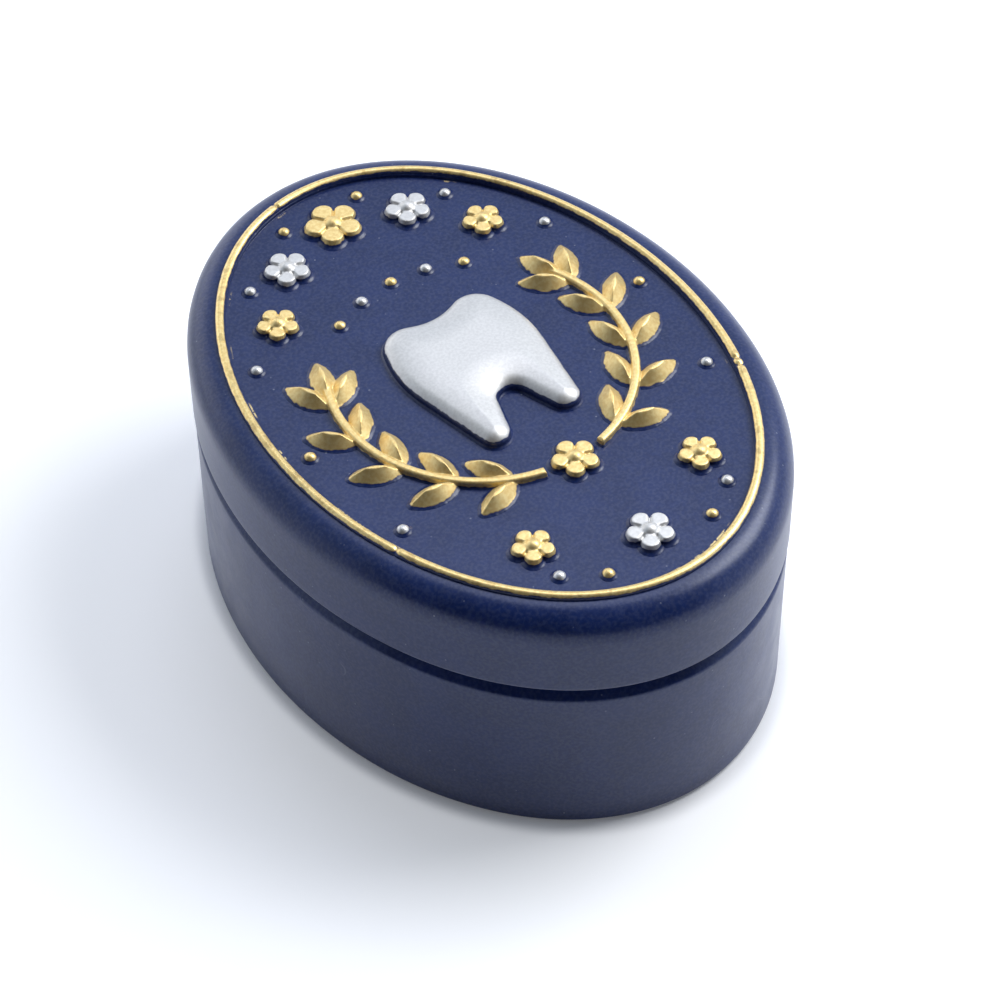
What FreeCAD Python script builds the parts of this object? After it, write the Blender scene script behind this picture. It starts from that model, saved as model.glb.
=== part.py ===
import FreeCAD, Part
import math
import os

# Oval keepsake box for milk teeth: a cast cup, a lift-off lid with a plug lip, a rim bead and raised
# ornament on the lid's panel, and a felt pad under the cup.  Millimetres, +Z up.  The origin is the
# centre of the resting face, the long axis lies along Y, and the ornament reads upright towards +Y.

# Overall oval, measured over the lid's skirt
lid_length = 74.0
lid_width = 55.0
seam_height = 21.6

# Felt pad in a shallow recess under the cup
pad_thickness = 1.0
pad_proud = 0.3
foot_ring_width = 1.4
pad_side_gap = 0.3

# Cup
cup_setback = 0.1
cup_wall = 4.5
cup_floor = 3.5
floor_fillet = 3.0
rim_bevel = 1.8
mouth_round = 0.4
foot_round = 0.4

# Lid
lid_height = 10.0
shoulder_radius = 3.1
skirt_round = 0.25
panel_recess = 0.4
panel_thickness = 4.0
ceiling_fillet = 2.5
lip_depth = 3.0
lip_thickness = 2.5
lip_clearance = 0.4
lip_lead = 0.5

# Rim bead round the panel, a low half-round
bead_width = 1.15
bead_height = 0.6
bead_round_share = 0.85

# Tooth in the middle of the panel
tooth_clearance = 2.8
tooth_width_share = 0.83
tooth_relief = 1.8
tooth_round_share = 0.07

# Leafy sprigs, one each side of the tooth, on a circle
stem_width = 0.9
stem_relief = 0.8
stem_round = 0.3
leaf_length = 6.2
leaf_width = 2.8
leaf_relief = 1.35
leaf_ridge_width_share = 0.12
leaf_ridge_inset_share = 0.34
leaf_pitch = 5.8
leaf_lean_angle = 38.0
sprig_end_angle = 26.0
sprig_foot_gap = 0.5

# Blossoms with round petals that rise to a smaller crown, and a domed eye
petal_count = 5
petal_radius = 1.15
petal_relief = 0.85
petal_spread_share = 0.9
petal_crown_share = 0.8
eye_radius = 0.95
eye_relief = 1.25

# Round dots
dot_radius = 0.72
dot_relief = 0.6

# Room kept free round the ornament
blossom_rim_gap = 2.6
dot_rim_gap = 1.6
ornament_gap = 0.5

# Blossoms on an oval inside the panel's edge: angle from +X, and size as a share of the full size
top_blossom_share = 1.25
gold_blossom_shares = [(90, top_blossom_share), (42, 0.9), (138, 0.9), (-54, 0.9), (-126, 0.9)]
silver_blossom_shares = [(64, 1.0), (116, 1.0), (-90, 1.0)]

# Dots by angle: near the panel's edge, and on the sprigs' circle above the tooth
gold_rim_angles = [77, 103, 2, 178, -72, -108]
silver_rim_angles = [53, 127, 28, 152, -24, -156, -60, -120]
gold_crown_angles = [60, 90, 120]
silver_crown_angles = [75, 105]

# Corners of half the tooth, from the dip between its cusps to the arch between its roots: shares of
# its half width and of its length, and the share of the shorter side that rounds each corner
tooth_corner_shares = [(0.0, 0.42, 0.40), (0.77, 0.55, 0.50), (1.09, 0.17, 0.50),
                       (0.75, -0.55, 0.56), (0.40, -0.53, 0.40), (0.0, -0.03, 0.50)]

# Overrun of every cut, and how near a level an edge has to lie to be picked
overrun = 1.0
level_tolerance = 0.001

# Levels and half sizes that several pieces share
lid_crest = seam_height + lid_height
panel_level = lid_crest - panel_recess
half_length = lid_length / 2
half_width = lid_width / 2
panel_margin = shoulder_radius + bead_width
cavity_margin = cup_setback + cup_wall

# The sprigs' circle fills the room between the blossoms above and below it and the dots at its sides
petal_ring_radius = petal_spread_share * petal_radius / math.sin(math.pi / petal_count)
blossom_reach = petal_ring_radius + petal_radius
blossom_margin = panel_margin + blossom_rim_gap + blossom_reach
dot_margin = panel_margin + dot_rim_gap + dot_radius
leaf_reach = leaf_length * math.sin(math.radians(leaf_lean_angle))
side_room = half_width - dot_margin - dot_radius - ornament_gap - leaf_reach
top_room = half_length - blossom_margin - top_blossom_share * blossom_reach - ornament_gap - dot_radius
foot_room = half_length - blossom_margin - blossom_reach - ornament_gap - blossom_reach
sprig_radius = min(side_room, (top_room + foot_room) / 2)
sprig_centre = (top_room - foot_room) / 2
tooth_length = 2 * (sprig_radius - leaf_reach - tooth_clearance)
tooth_width = tooth_width_share * tooth_length
tooth_round = tooth_round_share * tooth_width


def oval_prism(margin, low, high):
    """Upright prism on the lid's oval, drawn in by margin, between two levels."""
    centre = FreeCAD.Vector(0, 0, low)
    end_point = FreeCAD.Vector(0, half_length - margin, low)
    side_point = FreeCAD.Vector(margin - half_width, 0, low)
    oval = Part.Ellipse(end_point, side_point, centre)
    face = Part.Face(Part.Wire(oval.toShape()))
    return face.extrude(FreeCAD.Vector(0, 0, high - low))


def level_edges(shape, level):
    """Edges that lie flat at one level, the shortest first."""
    found = []
    for edge in shape.Edges:
        middle = (edge.FirstParameter + edge.LastParameter) / 2
        heights = [edge.valueAt(edge.FirstParameter).z, edge.valueAt(middle).z]
        if all(abs(height - level) < level_tolerance for height in heights):
            found.append(edge)
    return sorted(found, key=lambda edge: edge.Length)


def make_cup():
    """Solid-walled cup: bevelled rim, rounded foot, filleted compartment and the pad's recess."""
    blank = oval_prism(cup_setback, pad_proud, seam_height)
    blank = blank.makeChamfer(rim_bevel, level_edges(blank, seam_height))
    blank = blank.makeFillet(foot_round, level_edges(blank, pad_proud))
    floor_level = pad_proud + cup_floor
    cavity = oval_prism(cavity_margin, floor_level, seam_height + overrun)
    cavity = cavity.makeFillet(floor_fillet, level_edges(cavity, floor_level))
    recess = oval_prism(cup_setback + foot_ring_width, pad_proud - overrun, pad_thickness)
    cup = blank.cut(cavity).cut(recess)
    mouth_edge = level_edges(cup, seam_height)[:1]
    return cup.makeFillet(mouth_round, mouth_edge)


def make_felt_pad():
    """Flat pad that fills the recess and carries the box."""
    return oval_prism(cup_setback + foot_ring_width + pad_side_gap, 0, pad_thickness)


def make_lid():
    """Lid with a rounded shoulder, a sunk panel and a plug lip that drops into the cup."""
    blank = oval_prism(0, seam_height, lid_crest)
    blank = blank.makeFillet(shoulder_radius, level_edges(blank, lid_crest))
    blank = blank.makeFillet(skirt_round, level_edges(blank, seam_height))
    panel_cut = oval_prism(panel_margin, panel_level, lid_crest + overrun)
    lip_margin = cavity_margin + lip_clearance
    lip_bottom = seam_height - lip_depth
    lip = oval_prism(lip_margin, lip_bottom, seam_height + overrun)
    lip = lip.makeChamfer(lip_lead, level_edges(lip, lip_bottom))
    ceiling = panel_level - panel_thickness
    hollow = oval_prism(lip_margin + lip_thickness, lip_bottom - overrun, ceiling)
    hollow = hollow.makeFillet(ceiling_fillet, level_edges(hollow, ceiling))
    return blank.cut(panel_cut).fuse(lip).cut(hollow)


def make_rim_bead():
    """Half-round ring on the crest, flush with the panel's edge."""
    top = lid_crest + bead_height
    outside = oval_prism(shoulder_radius, lid_crest, top)
    inside = oval_prism(panel_margin, lid_crest - overrun, top + overrun)
    ring = outside.cut(inside)
    bead_round = bead_round_share * min(bead_height, bead_width / 2)
    return ring.makeFillet(bead_round, level_edges(ring, top))


def rounded_outline(corners):
    """Closed wire of straight sides joined by tangent arcs; corners are points with a rounding share."""
    arcs = []
    for index, (corner, share) in enumerate(corners):
        to_last = corners[index - 1][0] - corner
        to_next = corners[(index + 1) % len(corners)][0] - corner
        trim = share * min(to_last.Length, to_next.Length)
        half_angle = to_last.getAngle(to_next) / 2
        towards_middle = (to_last.normalize() + to_next.normalize()).normalize()
        depth = trim / math.cos(half_angle) - trim * math.tan(half_angle)
        before = corner + to_last * trim
        after = corner + to_next * trim
        arcs.append(Part.Arc(before, corner + towards_middle * depth, after))
    edges = []
    for index, arc in enumerate(arcs):
        side = Part.LineSegment(arcs[index - 1].EndPoint, arc.StartPoint)
        edges += [side.toShape(), arc.toShape()]
    return Part.Wire(edges)


def make_tooth():
    """Molar raised from the panel with a rounded edge."""
    right = []
    for across, along, share in tooth_corner_shares:
        place = FreeCAD.Vector(across * tooth_width / 2, sprig_centre + along * tooth_length, panel_level)
        right.append((place, share))
    left = [(FreeCAD.Vector(-place.x, place.y, place.z), share) for place, share in right[-2:0:-1]]
    face = Part.Face(rounded_outline(right + left))
    tooth = face.extrude(FreeCAD.Vector(0, 0, tooth_relief))
    return tooth.makeFillet(tooth_round, level_edges(tooth, panel_level + tooth_relief))


def lens_wire(length, width, start, level):
    """Pointed oval between two arcs, lying along +X from start."""
    tail = FreeCAD.Vector(start, 0, level)
    tip = FreeCAD.Vector(start + length, 0, level)
    middle = start + length / 2
    upper = Part.Arc(tail, FreeCAD.Vector(middle, width / 2, level), tip)
    lower = Part.Arc(tip, FreeCAD.Vector(middle, -width / 2, level), tail)
    return Part.Wire([upper.toShape(), lower.toShape()])


def make_leaf(seat, direction):
    """Leaf that rises from its pointed outline to a short narrow ridge in its middle."""
    ridge_width = leaf_ridge_width_share * leaf_width
    ridge_inset = leaf_ridge_inset_share * leaf_length
    ridge_length = leaf_length - 2 * ridge_inset
    outline = lens_wire(leaf_length, leaf_width, 0, 0)
    ridge = lens_wire(ridge_length, ridge_width, ridge_inset, leaf_relief)
    leaf = Part.makeLoft([outline, ridge], True, True)
    leaf.rotate(FreeCAD.Vector(0, 0, 0), FreeCAD.Vector(0, 0, 1), direction)
    leaf.translate(seat)
    return leaf


def on_circle(radius, angle):
    """Point of the panel at an angle about the sprigs' centre."""
    turn = math.radians(angle)
    return FreeCAD.Vector(radius * math.cos(turn), sprig_centre + radius * math.sin(turn), panel_level)


def on_oval(margin, angle):
    """Point of the panel at an angle on the lid's oval, drawn in by margin."""
    turn = math.radians(angle)
    across = (half_width - margin) * math.cos(turn)
    along = (half_length - margin) * math.sin(turn)
    return FreeCAD.Vector(across, along, panel_level)


def make_stem(start, end):
    """Round-topped bar along the sprig's circle."""
    inner = sprig_radius - stem_width / 2
    outer = sprig_radius + stem_width / 2
    middle = (start + end) / 2
    outer_arc = Part.Arc(on_circle(outer, start), on_circle(outer, middle), on_circle(outer, end))
    inner_arc = Part.Arc(on_circle(inner, end), on_circle(inner, middle), on_circle(inner, start))
    end_edge = Part.LineSegment(on_circle(outer, end), on_circle(inner, end))
    start_edge = Part.LineSegment(on_circle(inner, start), on_circle(outer, start))
    sides = [outer_arc, end_edge, inner_arc, start_edge]
    face = Part.Face(Part.Wire([side.toShape() for side in sides]))
    stem = face.extrude(FreeCAD.Vector(0, 0, stem_relief))
    return stem.makeFillet(stem_round, level_edges(stem, panel_level + stem_relief))


def make_sprig_right():
    """Stem with leaves in pairs and one leaf at its tip."""
    foot_turn = math.degrees(math.asin((blossom_reach + sprig_foot_gap) / sprig_radius))
    start = foot_turn - 90
    stem_length = math.radians(sprig_end_angle - start) * sprig_radius
    pairs = max(1, round(stem_length / leaf_pitch))
    step = (sprig_end_angle - start) / pairs
    leaves = []
    for pair in range(pairs):
        angle = start + (pair + 0.5) * step
        for lean in (leaf_lean_angle, -leaf_lean_angle):
            leaves.append(make_leaf(on_circle(sprig_radius, angle), angle + 90 + lean))
    tip_angle = sprig_end_angle - math.degrees(2 * stem_width / sprig_radius)
    leaves.append(make_leaf(on_circle(sprig_radius, tip_angle), tip_angle + 90))
    return make_stem(start, sprig_end_angle).multiFuse(leaves)


def make_dome(seat, radius, relief):
    """Cap of a sphere that sits on the panel."""
    ball = (radius ** 2 + relief ** 2) / (2 * relief)
    latitude = math.degrees(math.asin((ball - relief) / ball))
    centre = seat + FreeCAD.Vector(0, 0, relief - ball)
    return Part.makeSphere(ball, centre, FreeCAD.Vector(0, 0, 1), latitude, 90, 360)


def lobed_wire(seat, size):
    """Closed outline with one round lobe for each petal."""
    half_step = math.pi / petal_count
    notch_depth = petal_radius * math.sqrt(1 - petal_spread_share ** 2)
    notch_radius = petal_ring_radius * math.cos(half_step) + notch_depth
    lobes = []
    for petal in range(petal_count):
        turn = math.pi / 2 + 2 * petal * half_step
        reaches = [(notch_radius, turn - half_step), (blossom_reach, turn), (notch_radius, turn + half_step)]
        points = [seat + FreeCAD.Vector(math.cos(angle), math.sin(angle), 0) * size * reach
                  for reach, angle in reaches]
        lobes.append(Part.Arc(*points).toShape())
    return Part.Wire(lobes)


def make_blossom(seat, size):
    """Petals that rise to a smaller crown, round a taller eye."""
    outline = lobed_wire(seat, size)
    crown = lobed_wire(seat + FreeCAD.Vector(0, 0, petal_relief), petal_crown_share * size)
    petals = Part.makeLoft([outline, crown], True, True)
    return petals.fuse(make_dome(seat, size * eye_radius, eye_relief))


def make_blossoms(shares):
    """Blossoms on the oval inside the panel's edge."""
    return [make_blossom(on_oval(blossom_margin, angle), share) for angle, share in shares]


def make_dots(rim_angles, crown_angles):
    """Dots near the panel's edge and on the sprigs' circle."""
    seats = [on_oval(dot_margin, angle) for angle in rim_angles]
    seats += [on_circle(sprig_radius, angle) for angle in crown_angles]
    return Part.makeCompound([make_dome(seat, dot_radius, dot_relief) for seat in seats])


def build():
    """Every node's shape, by name; one gold blossom ties the feet of the two sprigs."""
    sprig_right = make_sprig_right()
    tie = make_blossom(on_circle(sprig_radius, -90), 1)
    return {
        "cup": make_cup(),
        "felt_pad": make_felt_pad(),
        "lid": make_lid(),
        "rim_bead": make_rim_bead(),
        "tooth_relief": make_tooth(),
        "sprig_left": sprig_right.mirror(FreeCAD.Vector(0, 0, 0), FreeCAD.Vector(1, 0, 0)),
        "sprig_right": sprig_right,
        "blossoms_gold": Part.makeCompound([tie] + make_blossoms(gold_blossom_shares)),
        "blossoms_silver": Part.makeCompound(make_blossoms(silver_blossom_shares)),
        "dots_gold": make_dots(gold_rim_angles, gold_crown_angles),
        "dots_silver": make_dots(silver_rim_angles, silver_crown_angles),
    }


os.makedirs("parts", exist_ok=True)
for node, shape in build().items():
    shape.exportStep("parts/" + node + ".step")
    print(node, len(shape.Solids), shape.isValid(), round(shape.Volume, 2))
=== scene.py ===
import bpy
import bmesh
import math
from mathutils import Matrix, Vector, kdtree, noise


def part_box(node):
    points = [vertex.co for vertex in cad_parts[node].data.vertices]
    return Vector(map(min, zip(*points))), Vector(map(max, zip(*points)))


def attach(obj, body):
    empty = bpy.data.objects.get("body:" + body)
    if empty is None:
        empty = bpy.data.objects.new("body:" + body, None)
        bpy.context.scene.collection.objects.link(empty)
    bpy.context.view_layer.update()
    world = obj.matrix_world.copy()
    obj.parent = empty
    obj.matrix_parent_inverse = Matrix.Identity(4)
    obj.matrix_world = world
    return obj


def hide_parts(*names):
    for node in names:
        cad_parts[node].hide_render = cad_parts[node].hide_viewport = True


# Looks of an oval cast-resin keepsake box: castings with softened edges, hand-brushed gold and silver
# ornament, a felt pad, a pale floor and soft studio light.  Metres, in the frame of the solids.
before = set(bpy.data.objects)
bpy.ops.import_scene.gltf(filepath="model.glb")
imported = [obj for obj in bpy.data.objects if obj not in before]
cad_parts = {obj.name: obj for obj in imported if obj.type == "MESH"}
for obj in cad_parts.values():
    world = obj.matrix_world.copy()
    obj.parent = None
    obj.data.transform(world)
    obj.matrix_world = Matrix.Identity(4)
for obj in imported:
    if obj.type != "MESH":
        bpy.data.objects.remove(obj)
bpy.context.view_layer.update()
mm = 0.001

# Main sizes, taken from the solids
cup_low, cup_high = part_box("cup")
lid_low, lid_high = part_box("lid")
pad_low, pad_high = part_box("felt_pad")
bead_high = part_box("rim_bead")[1]
half_width = lid_high.x
half_length = lid_high.y
seam_level = cup_high.z
crest_level = lid_high.z
panel_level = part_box("tooth_relief")[0].z

# Section of the cup
cup_setback = half_width - cup_high.x
cup_wall = 4.5 * mm
cup_floor = 3.5 * mm
floor_fillet = 3.0 * mm
rim_bevel = 1.8 * mm
bevel_round = 0.6 * mm
mouth_round = 0.4 * mm
foot_round = 0.4 * mm
foot_ring_width = 1.4 * mm

# Section of the lid
shoulder_radius = half_width - bead_high.x
bead_width = 1.15 * mm
skirt_round = 0.25 * mm
panel_thickness = 4.0 * mm
ceiling_fillet = 2.5 * mm
lip_thickness = 2.5 * mm
lip_clearance = 0.4 * mm
lip_lead = 0.5 * mm

# Rounding of the castings' other edges, and the slight waves of a hand-finished casting
cast_round = 0.07 * mm
wave_size = 11 * mm
wave_depth = 0.05 * mm

# Rim bead: its seat in the crest, the power that fills its section, its waves, and nicks at these angles
bead_sink = 0.15 * mm
bead_fullness = 0.7
bead_wave_size = 5 * mm
bead_wave_share = 0.1
bead_nicks = tuple(math.radians(angle) for angle in (334.7, 332.9, 206.0, 98.5))
nick_width = 0.3 * mm
nick_share = 0.35

# Felt pad: its soft edges, and the fuzz of its cut outline
felt_round = 0.3 * mm
fuzz_size = 0.6 * mm
fuzz_depth = 0.06 * mm
fuzz_setback = 0.1 * mm
fuzz_fineness = (0.8, 2.0, 3)

# Fineness of the lofted meshes
oval_steps = 576
arc_steps = 8
ring_step = 1.0 * mm
join_distance = 0.001 * mm

# Softened copies of the ornament: how the foot is let into the panel and spreads there, the size of the
# voxels, and the rounds of smoothing
foot_tolerance = 0.01 * mm
foot_sink = 0.3 * mm
foot_flare = 0.3 * mm
foot_flare_height = 0.26 * mm
smooth_share = 0.5
ornament_voxel = 0.08 * mm
tooth_voxel = 0.1 * mm
dot_voxel = 0.06 * mm
sprig_rounds = 4
tooth_rounds = 6
blossom_rounds = 5
dot_rounds = 3

# The tooth's pillow form: how far it reaches in from the walls, and how far the top drops there
pillow_reach = 4.2 * mm
pillow_drop_share = 0.4
wall_slope = 0.3

# Grooves between a blossom's petals
petal_count = 5
groove_width = 0.16 * mm
groove_depth = 0.3 * mm
groove_start = 0.8 * mm
groove_run = 0.3 * mm
groove_lowest = 0.2 * mm


def new_object(name, mesh):
    """Object that holds a mesh, in the scene."""
    piece = bpy.data.objects.new(name, mesh)
    bpy.context.scene.collection.objects.link(piece)
    return piece


def clean_mesh(piece):
    """Joins doubled points, turns the normals outwards and shades the mesh smoothly."""
    work = bmesh.new()
    work.from_mesh(piece.data)
    bmesh.ops.remove_doubles(work, verts=work.verts, dist=join_distance)
    bmesh.ops.recalc_face_normals(work, faces=work.faces)
    for face in work.faces:
        face.smooth = True
    work.to_mesh(piece.data)
    work.free()


def new_piece(name, vertices, faces):
    """Object with a clean mesh of these points and faces."""
    mesh = bpy.data.meshes.new(name)
    mesh.from_pydata(vertices, [], faces)
    piece = new_object(name, mesh)
    clean_mesh(piece)
    return piece


def oval_place(margin, turn, level):
    """Point at a turn of the oval; margin is the way in from the lid's outline."""
    return Vector(((half_width - margin) * math.cos(turn), (half_length - margin) * math.sin(turn), level))


def drawn_in(place, depth):
    """A point drawn towards the upright axis by a depth at the sides of the box."""
    share = 1 - depth / half_width
    return Vector((place.x * share, place.y * share, place.z))


def rounded_section(corners):
    """Points (margin, level) through corners (margin, level, radius), each corner but the ends rounded."""
    places = [Vector(corner[:2]) for corner in corners]
    points = [places[0]]
    for index in range(1, len(corners) - 1):
        place = places[index]
        to_last = (places[index - 1] - place).normalized()
        to_next = (places[index + 1] - place).normalized()
        half_angle = to_last.angle(to_next) / 2
        radius = corners[index][2]
        centre = place + (to_last + to_next).normalized() * radius / math.sin(half_angle)
        first = place + to_last * radius / math.tan(half_angle) - centre
        last = place + to_next * radius / math.tan(half_angle) - centre
        points += [centre + radius * first.slerp(last, step / arc_steps) for step in range(arc_steps + 1)]
    return points + [places[-1]]


def divided(points):
    """The same section with its long straight stretches divided."""
    result = [points[0]]
    for first, last in zip(points, points[1:]):
        steps = max(1, math.ceil((last - first).length / ring_step))
        result += [first.lerp(last, step / steps) for step in range(1, steps + 1)]
    return result


def loft_oval(name, corners, wobble):
    """Closed mesh of oval rings along a section, each point moved by a wobble."""
    vertices = []
    faces = []
    for row, (margin, level) in enumerate(divided(rounded_section(corners))):
        low, high = (row - 1) * oval_steps, row * oval_steps
        for step in range(oval_steps):
            vertices.append(wobble(oval_place(margin, 2 * math.pi * step / oval_steps, level)))
            after = (step + 1) % oval_steps
            if row:
                faces.append((low + step, high + step, high + after, low + after))
    return new_piece(name, vertices, faces)


def cast_wobble(place):
    """Slight waves of a hand-finished casting, always inwards."""
    return drawn_in(place, wave_depth * (0.5 + 0.5 * noise.noise(place / wave_size)))


def felt_wobble(place):
    """Fuzzy cut edge of the felt."""
    return drawn_in(place, fuzz_setback - fuzz_depth * noise.fractal(place / fuzz_size, *fuzz_fineness))


def make_cup():
    """Cup with its compartment, bevelled rim, rounded foot and the pad's recess."""
    cavity = cup_setback + cup_wall
    floor_level = cup_low.z + cup_floor
    recess = cup_setback + foot_ring_width
    return loft_oval("cup_casting", [
        (half_width, floor_level),
        (cavity, floor_level, floor_fillet),
        (cavity, seam_level, mouth_round),
        (cup_setback + rim_bevel, seam_level, cast_round),
        (cup_setback, seam_level - rim_bevel, bevel_round),
        (cup_setback, cup_low.z, foot_round),
        (recess, cup_low.z, cast_round),
        (recess, pad_high.z, cast_round),
        (half_width, pad_high.z)], cast_wobble)


def make_lid():
    """Lid with its hollow, plug lip, skirt, rounded shoulder and sunk panel."""
    lip = cup_setback + cup_wall + lip_clearance
    hollow = lip + lip_thickness
    ceiling = panel_level - panel_thickness
    panel = shoulder_radius + bead_width
    return loft_oval("lid_casting", [
        (half_width, ceiling),
        (hollow, ceiling, ceiling_fillet),
        (hollow, lid_low.z, cast_round),
        (lip + lip_lead, lid_low.z, cast_round),
        (lip, lid_low.z + lip_lead, cast_round),
        (lip, seam_level, cast_round),
        (0, seam_level, skirt_round),
        (0, crest_level, shoulder_radius),
        (panel, crest_level, cast_round),
        (panel, panel_level, cast_round),
        (half_width, panel_level)], cast_wobble)


def make_pad():
    """Thin felt pad with soft edges."""
    margin = half_width - pad_high.x
    return loft_oval("pad_felt", [
        (half_width, pad_high.z),
        (margin, pad_high.z, felt_round),
        (margin, pad_low.z, felt_round),
        (half_width, pad_low.z)], felt_wobble)


def make_bead():
    """Half-round ring on the crest, a little uneven as hand-finished casts are."""
    height = bead_high.z - crest_level
    middle = shoulder_radius + bead_width / 2
    steps = 2 * oval_steps
    section_steps = 2 * arc_steps
    vertices = []
    faces = []
    for step in range(steps):
        turn = 2 * math.pi * step / steps
        wave = noise.noise(oval_place(middle, turn, 0) / bead_wave_size)
        wide = bead_width / 2 * (1 - bead_wave_share * (0.5 + 0.5 * wave))
        nick = sum(math.exp(-((turn - angle) * half_length / nick_width) ** 2) for angle in bead_nicks)
        tall = height * (1 - bead_wave_share * (0.5 - 0.5 * wave)) * (1 - nick_share * nick)
        for side in range(section_steps + 1):
            angle = math.pi * side / section_steps
            level = crest_level - bead_sink + (tall + bead_sink) * math.sin(angle) ** bead_fullness
            vertices.append(oval_place(middle - wide * math.cos(angle), turn, level))
        here = step * (section_steps + 1)
        after = (step + 1) % steps * (section_steps + 1)
        for side in range(section_steps):
            faces.append((here + side, here + side + 1, after + side + 1, after + side))
        faces.append((here, after, after + section_steps, here + section_steps))
    return new_piece("bead_casting", vertices, faces)


def soften(name, node, voxel, rounds):
    """Copy of a node's mesh with its foot let into the panel and its edges softened as a cast's are."""
    piece = new_object(name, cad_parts[node].data.copy())
    clean_mesh(piece)
    for vertex in piece.data.vertices:
        if vertex.co.z < panel_level + foot_tolerance:
            vertex.co.z -= foot_sink
    piece.data.transform(Matrix.Scale(1 / mm, 4))
    remesh = piece.modifiers.new("voxels", "REMESH")
    remesh.mode = "VOXEL"
    remesh.voxel_size = voxel / mm
    remesh.use_smooth_shade = True
    smooth = piece.modifiers.new("soften", "SMOOTH")
    smooth.factor = smooth_share
    smooth.iterations = rounds
    graph = bpy.context.evaluated_depsgraph_get()
    mesh = bpy.data.meshes.new_from_object(piece.evaluated_get(graph))
    mesh.transform(Matrix.Scale(mm, 4))
    mesh.materials.clear()
    piece.modifiers.clear()
    piece.data = mesh
    return piece


def flare_foot(piece):
    """Spreads the foot of a piece into a small fillet on the panel."""
    moves = []
    for vertex in piece.data.vertices:
        height = vertex.co.z - panel_level
        outwards = Vector((vertex.normal.x, vertex.normal.y, 0))
        share = min(1, max(0, 1 - height / foot_flare_height))
        moves.append(outwards * foot_flare * share ** 2)
    for vertex, move in zip(piece.data.vertices, moves):
        vertex.co += move


def is_wall(vertex):
    """Whether a point lies on an upright wall above the panel."""
    return abs(vertex.normal.z) < wall_slope and vertex.co.z > panel_level


def pillow(piece):
    """Draws the top of a piece down towards its edge, so that it swells like a pillow."""
    walls = [vertex.co for vertex in piece.data.vertices if is_wall(vertex)]
    tree = kdtree.KDTree(len(walls))
    for index, place in enumerate(walls):
        tree.insert((place.x, place.y, 0), index)
    tree.balance()
    for vertex in piece.data.vertices:
        height = vertex.co.z - panel_level
        if height > 0:
            distance = tree.find((vertex.co.x, vertex.co.y, 0))[2]
            share = max(0, 1 - distance / pillow_reach)
            vertex.co.z = panel_level + height * (1 - pillow_drop_share * share ** 2)


def blossom_centres(node):
    """Middle of each blossom in a node: the top of its eye."""
    work = bmesh.new()
    work.from_mesh(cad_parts[node].data)
    bmesh.ops.remove_doubles(work, verts=work.verts, dist=join_distance)
    centres = []
    seen = set()
    for start in work.verts:
        if start in seen:
            continue
        island = [start]
        seen.add(start)
        for vertex in island:
            for edge in vertex.link_edges:
                other = edge.other_vert(vertex)
                if other not in seen:
                    seen.add(other)
                    island.append(other)
        centres.append(max(island, key=lambda vertex: vertex.co.z).co.copy())
    work.free()
    return centres


def groove_petals(piece, node):
    """Grooves between the petals of each blossom, from its eye to the notches of its outline."""
    centres = blossom_centres(node)
    step = 2 * math.pi / petal_count
    for vertex in piece.data.vertices:
        if vertex.co.z < panel_level + groove_lowest:
            continue
        centre = min(centres, key=lambda place: (place - vertex.co).length)
        offset = vertex.co - centre
        reach = math.hypot(offset.x, offset.y)
        turn = (math.atan2(offset.y, offset.x) - math.pi / 2) % step
        aside = reach * math.sin(abs(turn - step / 2))
        start = min(1, max(0, (reach - groove_start) / groove_run))
        vertex.co.z -= start * groove_depth * math.exp(-(aside / groove_width) ** 2)


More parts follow.
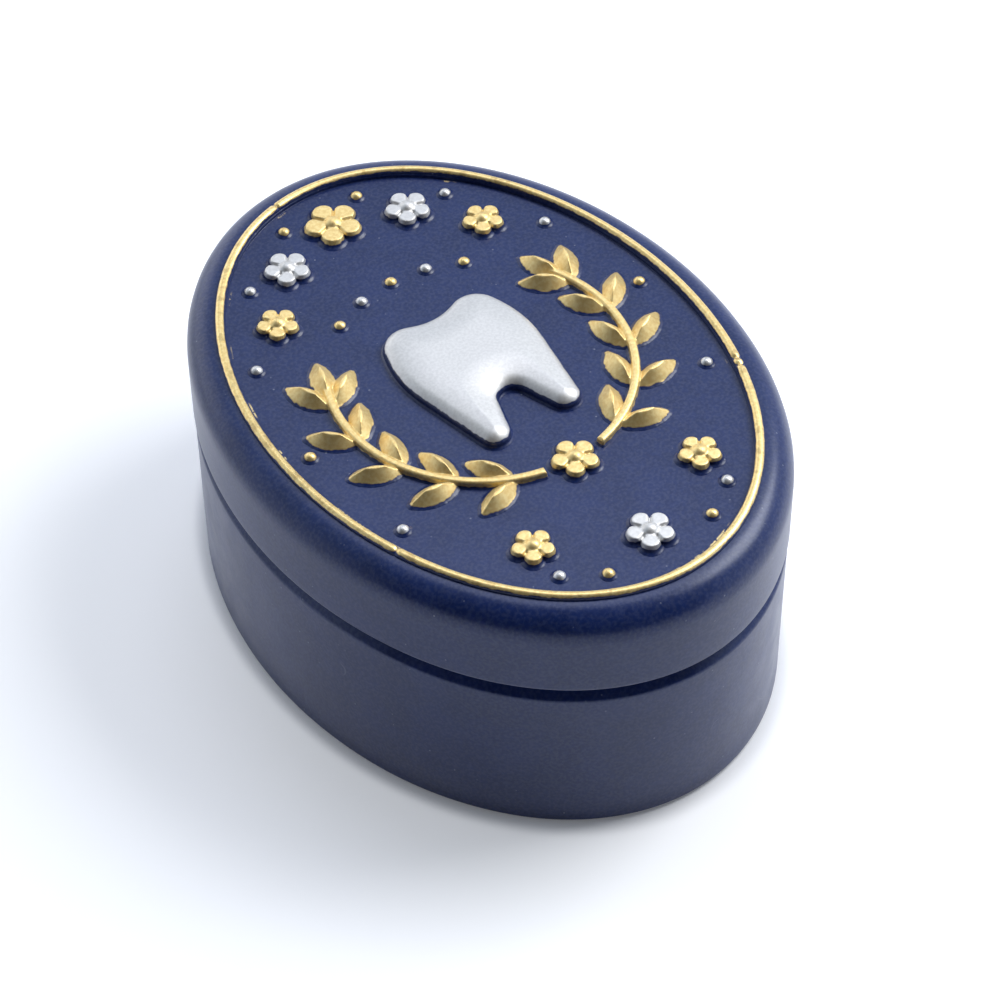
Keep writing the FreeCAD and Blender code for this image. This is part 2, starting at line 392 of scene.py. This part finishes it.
class Nodes:
    """Node tree of a material or of the surroundings, with short calls for the nodes that they share."""

    def __init__(self, holder, coordinates):
        holder.use_nodes = True
        self.holder = holder
        self.nodes = holder.node_tree.nodes
        self.links = holder.node_tree.links
        self.place = self.add("ShaderNodeTexCoord").outputs[coordinates]

    def add(self, kind, inputs=None, **settings):
        """Node of a kind; inputs by name or index are values or other nodes' outputs."""
        node = self.nodes.new(kind)
        for name, value in settings.items():
            setattr(node, name, value)
        for name, value in (inputs or {}).items():
            self.feed(node.inputs[name], value)
        return node

    def feed(self, socket, value):
        """Links an output to a socket, or sets the socket's value."""
        if isinstance(value, bpy.types.NodeSocket):
            self.links.new(value, socket)
        else:
            socket.default_value = value

    def grain(self, size, detail=2, stretch=(1, 1, 1)):
        """Noise with features of about one size, from 0 to 1."""
        scaled = self.add("ShaderNodeMapping", {"Vector": self.place, "Scale": stretch})
        inputs = {"Vector": scaled.outputs[0], "Scale": 1 / size, "Detail": detail}
        return self.add("ShaderNodeTexNoise", inputs).outputs[0]

    def specks(self, spacing, radius):
        """Sparse round specks: 1 inside a speck, 0 elsewhere."""
        cells = self.add("ShaderNodeTexVoronoi", {"Vector": self.place, "Scale": 1 / spacing})
        return self.span(cells.outputs["Distance"], (radius / spacing, radius / spacing / 2))

    def span(self, value, inside, outside=(0, 1)):
        """Maps a span of a value smoothly to another span, and holds it at the ends."""
        inputs = {0: value, 1: inside[0], 2: inside[1], 3: outside[0], 4: outside[1]}
        return self.add("ShaderNodeMapRange", inputs, interpolation_type="SMOOTHSTEP").outputs[0]

    def calc(self, operation, first, second):
        """Arithmetic on two values."""
        return self.add("ShaderNodeMath", {0: first, 1: second}, operation=operation).outputs[0]

    def apart(self, value, middle):
        """How far a value lies from a middle, on either side."""
        return self.calc("ABSOLUTE", self.calc("SUBTRACT", value, middle), 0)

    def mix(self, share, first, second):
        """Blend of two colours."""
        return self.add("ShaderNodeMix", {0: share, 6: first, 7: second}, data_type="RGBA").outputs[2]

    def bump(self, height, depth, under=None):
        """Bumps of a real depth, on top of others."""
        inputs = {"Height": height, "Distance": depth, "Strength": 1.0}
        if under:
            inputs["Normal"] = under
        return self.add("ShaderNodeBump", inputs).outputs[0]

    def height(self):
        """Height above the lid's panel."""
        split = self.add("ShaderNodeSeparateXYZ", {0: self.place})
        return self.calc("SUBTRACT", split.outputs["Z"], panel_level)

    def oval(self, inset):
        """Distance from the upright axis: 1 on the oval that lies this far inside the lid's outline."""
        squeeze = (1 / (half_width - inset), 1 / (half_length - inset), 0)
        flat = self.add("ShaderNodeMapping", {"Vector": self.place, "Scale": squeeze})
        return self.add("ShaderNodeVectorMath", {0: flat.outputs[0]}, operation="LENGTH").outputs["Value"]

    def along(self, direction):
        """Share of the place that lies along a direction."""
        inputs = {0: self.place, 1: direction}
        return self.add("ShaderNodeVectorMath", inputs, operation="DOT_PRODUCT").outputs["Value"]

    def finish(self, shader, **inputs):
        """Feeds the named shader; an underscore in a name stands for a space."""
        for name, value in inputs.items():
            self.feed(self.nodes[shader].inputs[name.replace("_", " ")], value)
        return self.holder


def new_paint(name):
    """Nodes of a new material."""
    return Nodes(bpy.data.materials.new(name), "Object")


# Colours, linear
navy_deep = (0.0058, 0.0165, 0.084, 1)
navy_light = (0.0086, 0.0228, 0.111, 1)
# Pale dust, also used for the painted highlight along the lid's lower edge
dust_and_highlight_colour = (0.17, 0.19, 0.27, 1)
gold_deep = (0.82, 0.58, 0.225, 1)
gold_light = (0.93, 0.725, 0.33, 1)
gold_dark = (0.26, 0.15, 0.05, 1)
silver_deep = (0.615, 0.605, 0.59, 1)
silver_light = (0.70, 0.69, 0.675, 1)
silver_dark = (0.30, 0.30, 0.33, 1)
felt_dark = (0.006, 0.006, 0.009, 1)
felt_light = (0.022, 0.022, 0.028, 1)
gold = (gold_deep, gold_light, gold_dark)
silver = (silver_deep, silver_light, silver_dark)

# Detail of a noise that only makes soft waves
wave_detail = 1

# Gloss of the navy paint; the cup's roughness varies in patches
navy_rough = 0.3
navy_rough_patch = 3 * mm
navy_rough_span = (0.3, 0.7)
navy_rough_ends = (0.28, 0.33)
navy_sheen = 0.44
navy_sheen_tint = (0.86, 0.90, 1.0, 1)

# Navy's clouds and fine mottle, of equal weight
cloud_size = 5 * mm
mottle_size = 0.5 * mm
mottle_detail = 3
mottle_span = (0.35, 0.65)

# Pale dust in patches, hair scratches along the contours of a wide noise, and a fine pale bloom
dust_spacing = 1.7 * mm
dust_radius = 0.13 * mm
dust_patch = 4 * mm
dust_patch_span = (0.4, 0.55)
dust_shares = (0.1, 0.8)
hair_spacing = 9 * mm
hair_contour = 0.5
hair_width = 0.0035
hair_patch = 6 * mm
hair_patch_span = (0.65, 0.7)
hair_shares = (0, 0.4)
bloom_size = 0.35 * mm
bloom_span = (0.38, 0.68)
bloom_shares = (0, 0.12)

# Soft waves and fine grain of the navy paint's surface
satin_wave_size = 2.5 * mm
satin_wave_depth = 0.008 * mm
satin_grain_size = 0.25 * mm
satin_grain_depth = 0.006 * mm


def navy_colour(paint):
    """Navy that varies a little over the casting, with sparse pale dust, hair scratches and a fine bloom."""
    clouds = paint.grain(cloud_size, mottle_detail)
    mottle = paint.grain(mottle_size, mottle_detail)
    varied = paint.calc("DIVIDE", paint.calc("ADD", clouds, mottle), 2)
    navy = paint.mix(paint.span(varied, mottle_span), navy_deep, navy_light)
    dusty = paint.span(paint.grain(dust_patch), dust_patch_span, dust_shares)
    dust = paint.calc("MULTIPLY", paint.specks(dust_spacing, dust_radius), dusty)
    scratched = paint.span(paint.grain(hair_patch), hair_patch_span, hair_shares)
    contour = paint.apart(paint.grain(hair_spacing, wave_detail), hair_contour)
    hair = paint.calc("MULTIPLY", paint.span(contour, (0, hair_width), (1, 0)), scratched)
    bloom = paint.span(paint.grain(bloom_size), bloom_span, bloom_shares)
    pale = paint.calc("MAXIMUM", bloom, paint.calc("MAXIMUM", dust, hair))
    return paint.mix(pale, navy, dust_and_highlight_colour)


def navy_bump(paint):
    """Soft waves and fine grain of satin paint on a casting."""
    waves = paint.bump(paint.grain(satin_wave_size, wave_detail), satin_wave_depth)
    return paint.bump(paint.grain(satin_grain_size), satin_grain_depth, waves)


def navy_resin():
    """Satin navy paint on cast resin."""
    paint = new_paint("navy_resin")
    rough = paint.span(paint.grain(navy_rough_patch), navy_rough_span, navy_rough_ends)
    return paint.finish("Principled BSDF", Base_Color=navy_colour(paint), Roughness=rough,
                        Specular_IOR_Level=navy_sheen, Specular_Tint=navy_sheen_tint,
                        Normal=navy_bump(paint))


# Metallic paint: the ragged line where it ends, a painted shade that darkens the paint just above that line,
# and worn patches
metal_share = 0.68
line_soft = 0.03 * mm
ragged_size = 0.9 * mm
ragged_detail = 5
ragged_span = (0.25, 0.75)
shade_rim_height = 0.09 * mm
shade_rim_share = 0.5
worn_size = 1.3 * mm
worn_detail = 6
worn_span = (0.54, 0.66)

# Strokes of the brush, and flakes in the metallic paint
stroke_detail = 4
stroke_span = (0.3, 0.7)
stroke_depth = 0.004 * mm
flake_size = 0.08 * mm
flake_span = (0.2, 0.8)
flake_depth = 0.003 * mm
flake_rough = 0.05

# Each ornament's own paint: the line above the panel where it ends, how ragged that line is, the width of
# its strokes, its roughness and how far it is rubbed
bead_line = 0.74 * mm
bead_ragged = 0.06 * mm
bead_stroke = 0.35 * mm
bead_rough = 0.36
bead_rubbed = 0.36
leaf_line = 0.18 * mm
leaf_ragged = 0.06 * mm
leaf_stroke = 0.4 * mm
leaf_rough = 0.44
tooth_line = 0.8 * mm
tooth_ragged = 0.06 * mm
tooth_stroke = 0.3 * mm
tooth_rough = 0.46
blossom_line = 0.42 * mm
blossom_ragged = 0.08 * mm
blossom_stroke = 0.4 * mm
blossom_gold_rough = 0.42
blossom_silver_rough = 0.48
dot_line = 0.24 * mm
dot_ragged = 0.05 * mm
dot_stroke = 0.4 * mm
dot_rough = 0.38


def brushed_paint(name, metal, line, ragged, stroke, rough, patch_share=0):
    """Metallic paint on the upper part of an ornament, with painted shade just above its line; the navy
    casting shows below a ragged line.
    """
    paint = new_paint(name)
    deep, light, dark = metal
    waver = paint.span(paint.grain(ragged_size, ragged_detail), ragged_span, (-ragged, ragged))
    edge = paint.calc("ADD", paint.height(), waver)
    cover = paint.span(edge, (line - line_soft, line + line_soft))
    # Painted shade: the paint darkens towards its line, where the ornament meets the panel.
    painted_shade_rim = paint.span(edge, (line, line + shade_rim_height), (shade_rim_share, 0))
    worn = paint.span(paint.grain(worn_size, worn_detail), worn_span, (0, patch_share))
    streaks = paint.grain(stroke, stroke_detail)
    flakes = paint.grain(flake_size)
    brushed = paint.mix(paint.span(streaks, stroke_span), deep, light)
    coat = paint.mix(paint.calc("MAXIMUM", worn, painted_shade_rim), brushed, dark)
    glitter = paint.span(flakes, flake_span, (rough - flake_rough, rough + flake_rough))
    gloss = paint.calc("MULTIPLY", cover, paint.calc("SUBTRACT", glitter, navy_rough))
    strokes = paint.bump(streaks, stroke_depth)
    return paint.finish("Principled BSDF", Base_Color=paint.mix(cover, navy_colour(paint), coat),
                        Metallic=paint.calc("MULTIPLY", cover, metal_share),
                        Roughness=paint.calc("ADD", gloss, navy_rough), Specular_IOR_Level=navy_sheen,
                        Normal=paint.bump(flakes, flake_depth, strokes))


# Gold spilt in a broken line inside the bead
spill_offset = 0.3 * mm
spill_width = 0.16 * mm
spill_patch = 5 * mm
spill_patch_span = (0.56, 0.62)
spill_drop = 0.5 * mm
spill_drop_detail = 3
spill_drop_span = (0.45, 0.55)

# Painted highlight along the lid's lower edge, in patches like wear
edge_highlight_height = 0.5 * mm
edge_highlight_patch = 8 * mm
edge_highlight_patch_detail = 4
edge_highlight_patch_span = (0.35, 0.6)
edge_highlight_share = 0.5


def spilt_gold(paint):
    """Share of spilt gold: a broken line inside the bead, on the panel only."""
    aside = paint.apart(paint.oval(shoulder_radius + bead_width + spill_offset), 1)
    line = paint.span(aside, (0, spill_width / half_width), (1, 0))
    patches = paint.span(paint.grain(spill_patch, wave_detail), spill_patch_span)
    drops = paint.span(paint.grain(spill_drop, spill_drop_detail), spill_drop_span)
    above = paint.span(paint.height(), (-panel_thickness / 2, 0))
    broken = paint.calc("MULTIPLY", line, paint.calc("MULTIPLY", patches, drops))
    return paint.calc("MULTIPLY", above, broken)


def lid_resin():
    """Navy of the lid, with spilt gold inside the bead and a painted highlight in patches along its lower
    edge.
    """
    paint = new_paint("lid_resin")
    spill = spilt_gold(paint)
    # Painted highlight: the navy turns paler in patches along the lid's lower edge, as if that edge caught
    # the light.
    patch_share = paint.span(paint.grain(edge_highlight_patch, edge_highlight_patch_detail), edge_highlight_patch_span, (0, edge_highlight_share))
    painted_edge_highlight = paint.span(paint.apart(paint.height(), seam_level - panel_level), (0, edge_highlight_height), (1, 0))
    navy = paint.mix(paint.calc("MULTIPLY", patch_share, painted_edge_highlight), navy_colour(paint), dust_and_highlight_colour)
    return paint.finish("Principled BSDF", Base_Color=paint.mix(spill, navy, gold_light),
                        Metallic=paint.calc("MULTIPLY", spill, metal_share), Roughness=navy_rough,
                        Specular_IOR_Level=navy_sheen, Specular_Tint=navy_sheen_tint,
                        Normal=navy_bump(paint))


# Felt
felt_rough = 0.95
fibre_size = 0.25 * mm
fibre_detail = 6
fibre_stretch = (1, 1, 2)
fibre_depth = 0.12 * mm


def felt():
    """Pressed felt: short tangled fibres."""
    paint = new_paint("felt")
    fibres = paint.grain(fibre_size, fibre_detail, fibre_stretch)
    return paint.finish("Principled BSDF", Base_Color=paint.mix(fibres, felt_dark, felt_light),
                        Roughness=felt_rough, Normal=paint.bump(fibres, fibre_depth))


def dress(piece, node, body, material):
    """A piece that stands for a node, with its body, slot and material."""
    piece.data.materials.append(material)
    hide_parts(node)
    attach(piece, body)


# Camera at the photograph's viewing angle
camera_azimuth = math.radians(-36.19)
camera_elevation = math.radians(48.0)
camera_roll = math.radians(-0.54)
camera_distance = 0.3669
camera_right = 1.35 * mm
camera_up = 8.0 * mm
camera_near = 0.01
camera_lens = 121.0
camera_sensor = 36.0

# Level directions as the camera sees them
view_right = Vector((math.cos(camera_azimuth), math.sin(camera_azimuth), 0))
view_away = Vector((-math.sin(camera_azimuth), math.cos(camera_azimuth), 0))
upright = Vector((0, 0, 1))

# Key light: its power in watts, its size, and its place to the right, away and up
key_power = 1.36
key_size = 0.22
key_place = (0.25, 0.125, 0.34)

# Floor: only the camera and mirrored rays see its slight glow, so that it looks white; under the box and at
# its foot the glow fades, which paints a shadow on the floor around the foot, on top of the real contact
# shadow
floor_reach = 2.0
floor_colour = (0.87, 0.88, 0.90, 1)
floor_rough = 0.7
floor_glow = 0.41
floor_glow_in_painted_shadow = 0.12
painted_shadow_reach = 1.06

# Surroundings: the far side high up and low down, the dark side behind the camera, a soft patch low on
# the far left, a small lamp high on the far side, and the spans over which each blends into the rest
far_light = (0.48, 0.58, 0.68, 1)
low_light = (0.84, 0.92, 1.10, 1)
height_span = (0.25, 0.65)
near_light = (0.012, 0.012, 0.016, 1)
sideways_share = 0.9
open_span = (0.0, 0.5)
side_light = (1.75, 1.8, 1.9, 1)
side_height = 0.25
side_span = (1.15, 1.4)
lamp_light = (2.8, 2.9, 3.3, 1)
lamp_height = math.radians(63)
lamp_span = (0.95, 0.99)


def make_camera():
    """Camera at the photograph's viewing angle."""
    back = upright * math.sin(camera_elevation) - view_away * math.cos(camera_elevation)
    level_up = back.cross(view_right)
    right = view_right * math.cos(camera_roll) + level_up * math.sin(camera_roll)
    up = level_up * math.cos(camera_roll) - view_right * math.sin(camera_roll)
    place = right * camera_right + up * camera_up + back * camera_distance
    data = bpy.data.cameras.new("camera")
    data.lens = camera_lens
    data.sensor_width = camera_sensor
    data.clip_start = camera_near
    camera = bpy.data.objects.new("camera", data)
    camera.matrix_world = Matrix.Translation(place) @ Matrix((right, up, back)).transposed().to_4x4()
    bpy.context.scene.collection.objects.link(camera)
    bpy.context.scene.camera = camera


def make_key_light():
    """Square soft light that faces the box."""
    data = bpy.data.lights.new("key_light", "AREA")
    data.shape = "SQUARE"
    data.size = key_size
    data.energy = key_power
    light = bpy.data.objects.new("key_light", data)
    light.location = view_right * key_place[0] + view_away * key_place[1] + upright * key_place[2]
    light.rotation_euler = (-light.location).to_track_quat("-Z", "Y").to_euler()
    bpy.context.scene.collection.objects.link(light)


def floor_white():
    """Pale floor that looks white to the camera and in mirrored rays, with a painted shadow where its glow
    fades around the box's foot.
    """
    paint = new_paint("floor_white")
    rays = paint.add("ShaderNodeLightPath").outputs
    mirrored = paint.calc("MAXIMUM", rays["Is Glossy Ray"], rays["Is Transmission Ray"])
    seen = paint.calc("MAXIMUM", rays["Is Camera Ray"], mirrored)
    # Painted shadow: the glow dims under the box and near its foot.
    glow_with_painted_shadow = paint.span(paint.oval(0), (1, painted_shadow_reach), (floor_glow_in_painted_shadow, floor_glow))
    white = paint.finish("Principled BSDF", Base_Color=floor_colour, Roughness=floor_rough,
                         Emission_Color=floor_colour, Emission_Strength=paint.calc("MULTIPLY", seen, glow_with_painted_shadow))
    white.cycles.emission_sampling = "NONE"
    return white


def make_floor():
    """Plain pale floor."""
    mesh = bpy.data.meshes.new("floor")
    corners = [(-floor_reach, -floor_reach, 0), (floor_reach, -floor_reach, 0),
               (floor_reach, floor_reach, 0), (-floor_reach, floor_reach, 0)]
    mesh.from_pydata(corners, [], [(0, 1, 2, 3)])
    mesh.materials.append(floor_white())
    new_object("floor", mesh)


def make_world():
    """Pale surroundings, bright on the far side and at both sides, dark behind the camera."""
    sky = Nodes(bpy.data.worlds.new("studio"), "Generated")
    sideways = sky.calc("MULTIPLY", sky.calc("POWER", sky.along(view_right), 2), sideways_share)
    open_side = sky.calc("ADD", sky.along(view_away), sideways)
    far = sky.mix(sky.span(sky.along(upright), height_span), low_light, far_light)
    wide = sky.mix(sky.span(open_side, open_span), near_light, far)
    side = view_away - view_right + upright * side_height
    sided = sky.mix(sky.span(sky.along(side), side_span), wide, side_light)
    lamp = view_away * math.cos(lamp_height) + upright * math.sin(lamp_height)
    colour = sky.mix(sky.span(sky.along(lamp), lamp_span), sided, lamp_light)
    bpy.context.scene.world = sky.finish("Background", Color=colour)


make_floor()
make_world()
make_camera()
make_key_light()

# Castings and pad
dress(make_cup(), "cup", "base", navy_resin())
dress(make_lid(), "lid", "lid", lid_resin())
pad = make_pad()
dress(pad, "felt_pad", "base", felt())

# Rim bead
bead_gold = brushed_paint("bead_gold", gold, bead_line, bead_ragged, bead_stroke, bead_rough, bead_rubbed)
dress(make_bead(), "rim_bead", "lid", bead_gold)

# Sprigs
leaf_gold = brushed_paint("leaf_gold", gold, leaf_line, leaf_ragged, leaf_stroke, leaf_rough)
for side in ("left", "right"):
    sprig = soften("sprig_" + side + "_casting", "sprig_" + side, ornament_voxel, sprig_rounds)
    flare_foot(sprig)
    dress(sprig, "sprig_" + side, "lid", leaf_gold)

# Tooth
tooth_silver = brushed_paint("tooth_silver", silver, tooth_line, tooth_ragged, tooth_stroke, tooth_rough)
tooth = soften("tooth_casting", "tooth_relief", tooth_voxel, tooth_rounds)
pillow(tooth)
flare_foot(tooth)
dress(tooth, "tooth_relief", "lid", tooth_silver)

# Blossoms and dots of both metals
for metal, colours, rough in (("gold", gold, blossom_gold_rough), ("silver", silver, blossom_silver_rough)):
    blossom_paint = brushed_paint("bloom_" + metal, colours, blossom_line, blossom_ragged,
                                  blossom_stroke, rough)
    blossoms = soften("blossoms_" + metal + "_casting", "blossoms_" + metal, ornament_voxel, blossom_rounds)
    groove_petals(blossoms, "blossoms_" + metal)
    flare_foot(blossoms)
    dress(blossoms, "blossoms_" + metal, "lid", blossom_paint)
    dot_paint = brushed_paint("dot_" + metal, colours, dot_line, dot_ragged, dot_stroke, dot_rough)
    dots = soften("dots_" + metal + "_casting", "dots_" + metal, dot_voxel, dot_rounds)
    flare_foot(dots)
    dress(dots, "dots_" + metal, "lid", dot_paint)

bpy.context.scene.view_settings.view_transform = "Standard"
